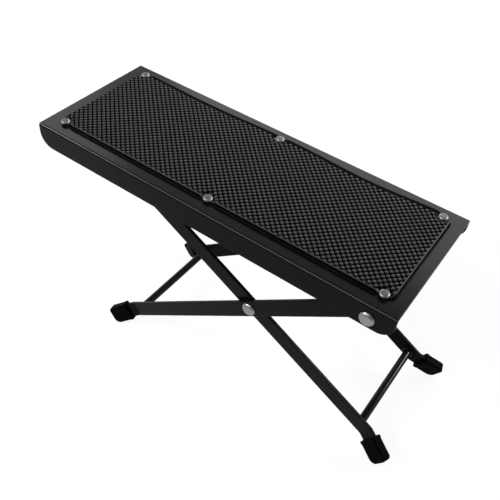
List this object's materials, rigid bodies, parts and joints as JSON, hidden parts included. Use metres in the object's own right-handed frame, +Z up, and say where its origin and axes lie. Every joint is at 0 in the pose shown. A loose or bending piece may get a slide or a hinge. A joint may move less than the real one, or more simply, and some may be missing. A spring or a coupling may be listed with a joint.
{
  "type": "guitar footrest",
  "caption": "Folding footrest: channel plate with a studded rubber mat on two crossed flat-bar frames with splayed rubber-capped feet and notched height racks.",
  "frame": {"origin": "on the floor, under the middle of the whole object's bounding box", "axes": "+X towards the low end of the plate, where its pivots are; +Y to the far side; +Z up from the floor the four caps stand on"},
  "size_m": [0.2888, 0.1106, 0.1829],
  "materials": {
    "black_powder_coat": "semi-gloss black powder coat on steel",
    "mat_rubber": "matt charcoal rubber with raised diamonds",
    "cap_rubber": "smooth black rubber",
    "bright_rivet": "nickel-bright domed rivet",
    "zinc_steel": "plain zinc-plated steel"
  },
  "bodies": {
    "outer_frame": {"outer_leg_near": "black_powder_coat", "outer_leg_far": "black_powder_coat", "outer_cross_rod": "black_powder_coat", "scissor_rivet_near": "bright_rivet", "scissor_rivet_far": "bright_rivet", "scissor_washer_near": "zinc_steel", "scissor_washer_far": "zinc_steel", "foot_cap_outer_near": "cap_rubber", "foot_cap_outer_far": "cap_rubber"},
    "plate_pivots": {"plate_pivot_rivet_near": "bright_rivet", "plate_pivot_rivet_far": "bright_rivet", "pivot_spacer_near": "zinc_steel", "pivot_spacer_far": "zinc_steel"},
    "foot_plate": {"foot_plate": "black_powder_coat", "rubber_mat": "mat_rubber", "mat_rivets": "bright_rivet", "lock_rack_near": "black_powder_coat", "lock_rack_far": "black_powder_coat"},
    "inner_frame": {"inner_leg_near": "black_powder_coat", "inner_leg_far": "black_powder_coat", "inner_cross_rod": "black_powder_coat", "lock_rod": "black_powder_coat", "foot_cap_inner_near": "cap_rubber", "foot_cap_inner_far": "cap_rubber"}
  },
  "joints": [
    {"name": "plate_fold", "type": "hinge", "parent": "outer_frame", "child": "plate_pivots", "pos_m": [0.11668, 0, 0.14011], "axis": [0, 1, 0], "range_deg": [-33.59, 0]},
    {"name": "scissor", "type": "hinge", "parent": "outer_frame", "child": "inner_frame", "pos_m": [0.02742, 0, 0.08674], "axis": [0, 1, 0], "range_deg": [-60.88, 0]},
    {"name": "plate_lift", "type": "hinge", "parent": "plate_pivots", "child": "foot_plate", "pos_m": [0.11668, 0, 0.14011], "axis": [0, 1, 0], "range_deg": [0, 40]}
  ],
  "couplings": [
    {"joint": "scissor", "follows": "plate_fold", "ratio": 1.8109}
  ]
}
